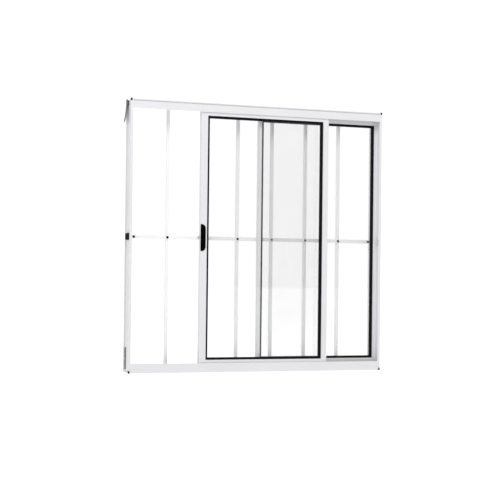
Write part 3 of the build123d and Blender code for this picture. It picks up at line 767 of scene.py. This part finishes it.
@dataclass
class Grille(Assembly):
    """Upright tubes, crossbar, caps and brackets."""

    tube_count: int = 6
    tube_edge_mm: float = 0.25
    crossbar_edge_mm: float = 0.3
    cap_shares: Shares = ((0.04, 0.0), (0.35, 0.03), (0.62, 0.14), (0.7, 0.3), (0.76, 0.3), (0.84, 0.2),
                          (0.95, 0.4), (1.0, 0.62), (1.0, 1.0))
    shank_radius: float = 2.0 * MM

    def build(self) -> None:
        """Build the tubes, the crossbar and its fixings."""
        tubes = [f"grille_bar_{n + 1}" for n in range(self.tube_count)]
        self.ease(Slot.COAT, self.tube_edge_mm, *tubes)
        self.ease(Slot.COAT, self.crossbar_edge_mm, "grille_crossbar", "crossbar_brackets")
        self.caps("crossing_caps")
        self.caps("crossbar_end_caps")

    def caps(self, node: str) -> None:
        """Moulded caps: a domed button with a shallow ring round it, on a short shank.

        Args:
            node: the grouped CAD node that they stand for.
        """
        parts = []
        for space in islands(node):
            radius = space.size.x / 2
            depth = Space.of("grille_crossbar").low.y - space.low.y
            dome = [(across * radius, along * depth) for across, along in self.cap_shares]
            dome += [(self.shank_radius, depth + SEAT), (self.shank_radius, space.size.y)]
            parts.append(loft("cap", turned((space.middle.x, space.low.y, space.middle.z), dome, 1, 36)))
        self.place(join(f"{node}_set", parts), Slot.NYLON, node)


@dataclass
class Leaf(Assembly):
    """Profiles, glass and gasket of one leaf."""

    prefix: str = "sash"
    stiles: tuple[str, str] = ("lock_stile", "interlock_stile")
    profile_edge_mm: float = 0.6
    small_edge_mm: float = 0.4
    screw_edge_mm: float = 0.2
    lip_round: float = 1.4 * MM
    lip_fall: float = 1.1 * MM
    lip_slope: float = 0.8 * MM
    foot_cut: float = 0.6 * MM
    groove: tuple[float, float, float, float] = (0.2 * MM, 0.8 * MM, 1.6 * MM, 2.2 * MM)
    groove_depth: float = 0.5 * MM

    def build(self) -> None:
        """Build the leaf's pieces."""
        profiles = [f"{self.prefix}_{name}" for name in (*self.stiles, "top_rail", "bottom_rail")]
        self.ease(Slot.COAT, self.profile_edge_mm, *profiles)
        self.ease(Slot.GLASS, self.small_edge_mm, f"{self.prefix}_glass")
        self.ease(Slot.GREY, self.small_edge_mm, f"{self.prefix}_top_guides")
        self.ease(Slot.ZINC, self.screw_edge_mm, f"{self.prefix}_screws")
        self.gasket()

    def section(self, reach: float, lip: float, half: float, glass: float, bite: float) -> np.ndarray:
        """Outline of the gasket's U section: u points towards the glass, v is depth from its middle.

        Args:
            reach: how deep the section stands in the channel.
            lip: how far it shows beyond the profile.
            half: half of its outer width.
            glass: half of the glass's thickness.
            bite: how deep the glass stands in the channel.

        Returns:
            One row of u and v per corner of the closed outline.
        """
        turn = np.linspace(0.0, math.pi / 2, 5)
        nose = np.stack([lip - self.lip_round + self.lip_round * np.sin(turn),
                         half - self.lip_round + self.lip_round * np.cos(turn)], axis=1)
        sink = half - self.groove_depth
        foot = [[-reach, half - self.foot_cut], [-reach + self.foot_cut, half]]
        front = np.array(foot + [list(point) for point in zip(self.groove, (half, sink, sink, half))])
        inner = np.array([[lip, glass + self.lip_fall + self.lip_slope], [lip - self.lip_fall, glass],
                          [-bite, glass]])
        one = np.concatenate([front, nose, inner])
        other = one[::-1] * np.array([1.0, -1.0])
        return np.concatenate([one, other])

    def gasket(self) -> None:
        """One ring of rubber with mitred corners: each point of the section runs round a rectangle."""
        sides = {s: Space.of(f"{self.prefix}_gasket_{s}") for s in ("left", "right", "top", "bottom")}
        pane = Space.of(f"{self.prefix}_glass")
        low_rail = Space.of(f"{self.prefix}_bottom_rail")
        high_rail = Space.of(f"{self.prefix}_top_rail")
        x0, x1, z0, z1 = low_rail.low.x, low_rail.high.x, low_rail.high.z, high_rail.low.z
        half = sides["top"].size.y / 2
        outline = self.section(z0 - sides["bottom"].low.z, sides["bottom"].high.z - z0, half,
                               pane.size.y / 2, z0 - pane.low.z)
        u, v = outline[:, 0], outline[:, 1]
        left = np.maximum(u, sides["left"].low.x - x0)
        right = np.maximum(u, x1 - sides["right"].high.x)
        corners = [(x0 + left, z0 + u), (x1 - right, z0 + u), (x1 - right, z1 - u), (x0 + left, z1 - u)]
        middle = sides["top"].middle.y
        rings = np.stack([np.stack([x, middle + v, z], axis=1) for x, z in corners])
        size = len(outline)
        j = np.arange(size)
        k = (j + 1) % size
        last = np.stack([3 * size + j, 3 * size + k, k, j], axis=1)
        faces = np.concatenate([grid_faces(4, size), last]).tolist()
        ring = mesh_piece(f"{self.prefix}_gasket_ring", rings, faces, 30.0)
        self.place(ring, Slot.RUBBER, *[f"{self.prefix}_gasket_{s}" for s in sides])


@dataclass
class Latch(Assembly):
    """Flush pull with its finger recess, and the pin of the hook."""

    rim: float = 1.0 * MM
    points: int = 96
    metal_edge_mm: float = 0.2
    hook_edge_mm: float = 0.3
    outer_round: tuple[float, float] = (1.6 * MM, 15.5 * MM)
    mouth_round: tuple[float, float] = (2.5 * MM, 5.0 * MM)
    floor_round: tuple[float, float] = (1.5 * MM, 3.5 * MM)
    recess_left: float = 0.3 * MM
    recess_right: float = 1.6 * MM
    recess_half: float = 0.38
    floor_drop: float = 0.9 * MM
    bezel_shares: Shares = ((0.12, 0.3), (0.35, 0.04), (0.6, 0.0), (1.0, 0.1))
    slide_relief: float = 1.2 * MM
    ridge_half: float = 0.5 * MM
    ridge_waves: int = 5

    def build(self) -> None:
        """Build the shell, the slide, the hook and the pin."""
        self.shell()
        self.ease(Slot.ZINC, self.metal_edge_mm, "latch_pin")
        Latch(self.finishes, "latch_slider").slider()
        Latch(self.finishes, "latch_hook").ease(Slot.ZINC, self.hook_edge_mm, "latch_hook")

    def outline(self, low: Sequence[float], high: Sequence[float], left: float, right: float) -> np.ndarray:
        """A rectangle in X and Z with its own corner radius on the left and on the right.

        Each corner is a quarter circle; the points are spaced evenly along the whole outline.

        Args:
            low: lowest X and Z.
            high: highest X and Z.
            left: radius of the left corners.
            right: radius of the right corners.

        Returns:
            One row of X and Z per point.
        """
        turn = np.linspace(0.0, math.pi / 2, 24)
        corners = [(high[0] - right, high[1] - right, right, 0.0),
                   (low[0] + left, high[1] - left, left, 0.25),
                   (low[0] + left, low[1] + left, left, 0.5), (high[0] - right, low[1] + right, right, 0.75)]
        arcs = [(x, z, r, turn + math.tau * quarter) for x, z, r, quarter in corners]
        path = np.concatenate([np.stack([x + r * np.cos(a), z + r * np.sin(a)], axis=1)
                               for x, z, r, a in arcs])
        path = np.concatenate([path, path[:1]])
        step = np.concatenate([[0.0], np.cumsum(np.linalg.norm(np.diff(path, axis=0), axis=1))])
        even = np.linspace(0.0, step[-1], self.points, endpoint=False)
        return np.stack([np.interp(even, step, path[:, 0]), np.interp(even, step, path[:, 1])], axis=1)

    def ring(self, low: Sequence[float], high: Sequence[float], inset: float, rounds: Sequence[float],
             depth: float) -> np.ndarray:
        """The outline, drawn in by an inset, at one depth.

        Args:
            low: lowest X and Z before the inset.
            high: highest X and Z before the inset.
            inset: how far each side moves in.
            rounds: radius of the left and of the right corners.
            depth: Y of the whole ring.

        Returns:
            One row of X, Y and Z per point.
        """
        flat = self.outline((low[0] + inset, low[1] + inset), (high[0] - inset, high[1] - inset), *rounds)
        return np.stack([flat[:, 0], np.full(len(flat), depth), flat[:, 1]], axis=1)

    def shell(self) -> None:
        """The pull: rings run up the rim, over the rolled bezel and down into the recess.

        Between the bezel and the recess's mouth a ring is the weighted mean of both outlines, and it
        sinks with the fourth power of its share of the way.
        """
        space = Space.of("handle_shell")
        slide = Space.of("latch_slider")
        low, high = (space.low.x, space.low.z), (space.high.x, space.high.z)
        half = self.recess_half * space.size.z
        recess_low = (slide.low.x - self.recess_left, space.middle.z - half)
        recess_high = (slide.high.x + self.recess_right, space.middle.z + half)
        front = space.low.y
        floor = slide.high.y - self.floor_drop
        steps = [(0.0, Space.of("sash_lock_stile").low.y), (0.0, front + 0.7 * self.rim)]
        steps += [(inset * self.rim, front + drop * self.rim) for inset, drop in self.bezel_shares]
        rings = [self.ring(low, high, inset, self.outer_round, depth) for inset, depth in steps]
        bezel = rings[-1]
        for share in (0.45, 0.8, 0.95):
            depth = front + (0.1 + 0.9 * share ** 4) * MM
            mouth = self.ring(recess_low, recess_high, 0.0, self.mouth_round, depth)
            between = bezel * (1 - share) + mouth * share
            between[:, 1] = depth
            rings.append(between)
        for depth in np.linspace(front + 1.6 * MM, floor - 0.8 * MM, 5):
            rings.append(self.ring(recess_low, recess_high, 0.0, self.mouth_round, depth))
        for inset in (0.5 * MM, 1.4 * MM):
            rings.append(self.ring(recess_low, recess_high, inset, self.floor_round, floor))
        self.place(loft("flush_pull_shell", np.array(rings)), Slot.NYLON, "handle_shell")

    def slider(self) -> None:
        """Thumb slide: a soft-edged block with a wavy face.

        The face is set back by ridge_half times 1 plus the cosine of ridge_waves turns over its
        height. The rings lie close together near both ends only, which leaves one broad ridge across
        the middle and a narrow one towards each end.
        """
        space = Space.of("latch_slider")
        high = (space.high.x, space.high.y - self.slide_relief, space.high.z)
        rings = rounded_box(space.low, high, 0.28, 64)
        height = (rings[:, :, 2] - space.low.z) / space.size.z
        front = np.clip((space.middle.y - rings[:, :, 1]) / (0.5 * space.size.y), 0.0, 1.0)
        rings[:, :, 1] += front * self.ridge_half * (1 + np.cos(math.tau * self.ridge_waves * height))
        self.place(loft("thumb_slide", rings), Slot.NYLON, "latch_slider")


@dataclass
class RunningGear(Assembly):
    """Carriers, axles and wheels under the sliding leaf."""

    carrier_edge_mm: float = 0.5
    axle_edge_mm: float = 0.2
    bore: float = 2.05 * MM
    half_shares: Shares = ((0.42, 1.0), (0.46, 0.55), (0.7, 0.55), (0.76, 1.0), (0.97, 1.0), (1.0, 0.9),
                           (1.0, 0.55), (0.8, 0.4))

    def build(self) -> None:
        """Build the carriers and axles, and each wheel on its own body."""
        self.ease(Slot.GREY, self.carrier_edge_mm, "roller_housings")
        self.ease(Slot.ZINC, self.axle_edge_mm, "roller_axles")
        for name in ("roller_left", "roller_right"):
            wheel = RunningGear(self.finishes, name)
            wheel.place(wheel.wheel(name), Slot.GREY, name)

    def wheel(self, node: str) -> Piece:
        """A grooved wheel: flanges, running groove, a web thinned between rim and hub.

        Args:
            node: the CAD node whose place the wheel takes.

        Returns:
            The wheel, bored through.
        """
        space = Space.of(node)
        radius, half = space.size.x / 2, space.size.y / 2
        near = [(self.bore, -half)] + [(across * radius, -along * half) for across, along in self.half_shares]
        profile = near + [(across, -along) for across, along in reversed(near)] + near[:1]
        rings = turned(space.middle, profile, 1, 48)
        return mesh_piece(f"{node}_wheel", rings, grid_faces(len(profile), 48).tolist(), 30.0)


# ---------------------------------------------------------------- room, light, camera
@dataclass
class Studio:
    """Pale floor with a sweep behind it, soft light and the camera."""

    location: Point = (-1.4821, -4.2572, 0.3486)
    turn_deg: Point = (90.477, -0.656, -18.435)
    lens_mm: float = 89.3
    shift_up: float = 0.06
    floor_half: float = 40.0
    sweep_start: float = 3.0
    sweep_radius: float = 2.5
    sweep_height: float = 9.0
    paint: tuple[str, str] = ("#7a7a7a", "#7e7e7e")
    paint_glow: float = 0.99
    air_glow: float = 0.5

    def build(self) -> None:
        """Make the floor, the lights and the camera."""
        self.sweep()
        self.world()
        self.light("key_softbox", place=(-1.0, -3.2, 4.6), size=2.2, watts=132.0)
        self.light("back_softbox", place=(0.4, 2.6, 3.4), size=2.4, watts=8.0)
        self.camera()

    def sweep(self) -> None:
        """Floor and backdrop as one sheet: flat, a quarter circle, then upright."""
        turn = np.linspace(0.0, math.pi / 2, 24)
        y = np.concatenate([[-self.floor_half], self.sweep_start + self.sweep_radius * np.sin(turn),
                            [self.sweep_start + self.sweep_radius]])
        z = np.concatenate([[0.0], self.sweep_radius * (1 - np.cos(turn)), [self.sweep_height]])
        x = np.array([-self.floor_half, self.floor_half])
        points = np.stack([np.tile(x, len(y)), np.repeat(y, 2), np.repeat(z, 2)], axis=1)
        faces = 2 * np.arange(len(y) - 1)[:, None] + np.array([0, 1, 3, 2])
        floor = mesh_piece("studio_sweep", points, faces.tolist(), 60.0)
        material, tree, where = blank_material("pale_studio_paint")
        mottle = add_node(tree, "ShaderNodeTexNoise", {"Vector": where, "Scale": 3.0}).outputs["Fac"]
        colour = add_node(tree, "ShaderNodeValToRGB", {"Fac": mottle},
                          stops=zip((0.3, 0.7), map(linear, self.paint))).outputs["Color"]
        shader = add_node(tree, "ShaderNodeBsdfPrincipled",
                          {"Base Color": colour, "Roughness": 0.9, "Specular IOR Level": 0.1,
                           "Emission Color": WHITE, "Emission Strength": self.paint_glow})
        add_node(tree, "ShaderNodeOutputMaterial", {"Surface": shader.outputs[0]})
        floor.data.materials.append(material)

    def world(self) -> None:
        """Even white surroundings."""
        world = bpy.data.worlds.new("studio_air")
        world.use_nodes = True
        tree = world.node_tree
        tree.nodes.clear()
        shell = add_node(tree, "ShaderNodeBackground", {"Color": WHITE, "Strength": self.air_glow})
        add_node(tree, "ShaderNodeOutputWorld", {"Surface": shell.outputs[0]})
        bpy.context.scene.world = world

    def light(self, name: str, place: Point, size: float, watts: float,
              target: Point = (0.0, 0.0, 0.5)) -> None:
        """A square soft light aimed at a point.

        Args:
            name: the light's name.
            place: where it hangs, in metres.
            size: side of its square face, in metres.
            watts: its power.
            target: the point that it faces; the default is the window's middle.
        """
        data = bpy.data.lights.new(name, "AREA")
        data.size = size
        data.energy = watts
        lamp = bpy.data.objects.new(name, data)
        lamp.location = place
        lamp.rotation_euler = (Vector(target) - Vector(place)).to_track_quat("-Z", "Y").to_euler()
        bpy.context.scene.collection.objects.link(lamp)

    def camera(self) -> None:
        """The camera, a short telephoto from the left, a little below the middle."""
        data = bpy.data.cameras.new("main_camera")
        data.lens = self.lens_mm
        data.sensor_width = 36.0
        data.shift_y = self.shift_up
        data.clip_end = 60.0
        camera = bpy.data.objects.new("main_camera", data)
        camera.location = self.location
        camera.rotation_euler = [math.radians(a) for a in self.turn_deg]
        bpy.context.scene.collection.objects.link(camera)
        bpy.context.scene.camera = camera
        bpy.context.scene.view_settings.view_transform = "Standard"


def main() -> None:
    """Build the window from the frame outwards, then the studio."""
    logging.basicConfig(level=logging.INFO, format="%(name)s %(message)s")
    finishes = Finishes().build()
    OuterFrame(finishes, "window_frame").build()
    Grille(finishes, "window_frame").build()
    Leaf(finishes, "window_frame", prefix="fixed", stiles=("interlock_stile", "jamb_stile")).build()
    Leaf(finishes, "sliding_sash").build()
    Assembly(finishes, "window_frame").ease(Slot.GREY, 0.5, "fixed_leaf_blocks")
    Latch(finishes, "sliding_sash").build()
    RunningGear(finishes, "sliding_sash").build()
    Studio().build()


if __name__ == "__main__":
    main()
